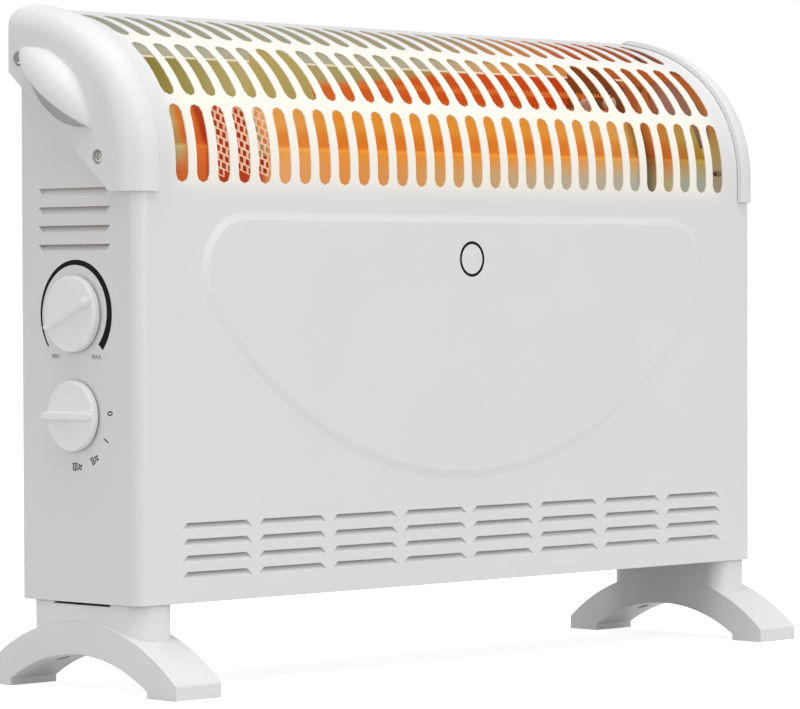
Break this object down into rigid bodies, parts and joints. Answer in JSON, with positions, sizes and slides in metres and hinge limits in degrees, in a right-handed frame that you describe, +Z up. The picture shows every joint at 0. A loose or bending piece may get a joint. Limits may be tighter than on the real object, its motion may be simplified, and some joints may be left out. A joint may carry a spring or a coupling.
{
  "type": "convector heater",
  "caption": "White free-standing convector heater with a slotted curved top, side knobs, moulded end caps with grips, and arched feet.",
  "frame": {"origin": "on the floor under the middle of the heater, at the centre of the box's bottom", "axes": "+X along the width from the control side to the other side, +Y from the front to the back, +Z up"},
  "size_m": [0.638, 0.1796, 0.4301],
  "materials": {
    "white_enamel": "fine satin powder coat",
    "white_moulding": "fine satin moulding",
    "white_knob": "smooth, slightly glossy",
    "grey_bush": "matt",
    "zinc_screw": "bright zinc plate",
    "plated_shaft": "plated steel",
    "dark_case": "moulded phenolic",
    "aluminised_sheet": "dull aluminised sheet",
    "dark_sheet": "heat-tinted sheet",
    "ceramic": "unglazed ceramic",
    "mica": "pressed mica",
    "heating_alloy": "glowing resistance wire",
    "guard_metal": "expanded metal",
    "fan_moulding": "matt",
    "motor_core": "laminated steel"
  },
  "bodies": {
    "root": {"front_housing": "white_enamel", "rear_panel": "white_enamel", "rear_panel_screws": "zinc_screw", "cord_gland": "grey_bush", "left_end_cap": "white_moulding", "right_end_cap": "white_moulding", "end_cap_screws": "zinc_screw", "left_foot": "white_moulding", "right_foot": "white_moulding", "foot_screws": "zinc_screw", "thermostat_body": "dark_case", "thermostat_screws": "zinc_screw", "switch_body": "dark_case", "switch_screws": "zinc_screw", "front_heat_shield": "aluminised_sheet", "rear_heat_shield": "aluminised_sheet", "control_shield": "aluminised_sheet", "terminal_block": "ceramic", "left_element_plate": "dark_sheet", "right_element_plate": "dark_sheet", "left_mica_board": "mica", "right_mica_board": "mica", "front_heating_wire": "heating_alloy", "rear_heating_wire": "heating_alloy", "ceramic_pegs": "ceramic", "thermal_cutout": "dark_case", "fan_case": "aluminised_sheet", "fan_guard": "guard_metal", "fan_motor": "motor_core"},
    "thermostat": {"thermostat_knob": "white_knob", "thermostat_shaft": "plated_shaft"},
    "selector": {"switch_knob": "white_knob", "switch_shaft": "plated_shaft"},
    "fan": {"fan_impeller": "fan_moulding", "fan_shaft": "plated_shaft"}
  },
  "joints": [
    {"name": "thermostat_turn", "type": "hinge", "parent": "root", "child": "thermostat", "pos_m": [-0.295, 0.0032, 0.2352], "axis": [1, 0, 0], "range_deg": [-16, 244]},
    {"name": "selector_turn", "type": "hinge", "parent": "root", "child": "selector", "pos_m": [-0.295, 0.0032, 0.1717], "axis": [1, 0, 0], "range_deg": [0, 90]},
    {"name": "fan_spin", "type": "hinge", "parent": "root", "child": "fan", "pos_m": [-0.19, 0, 0.262], "axis": [0, 1, 0], "continuous": true}
  ]
}
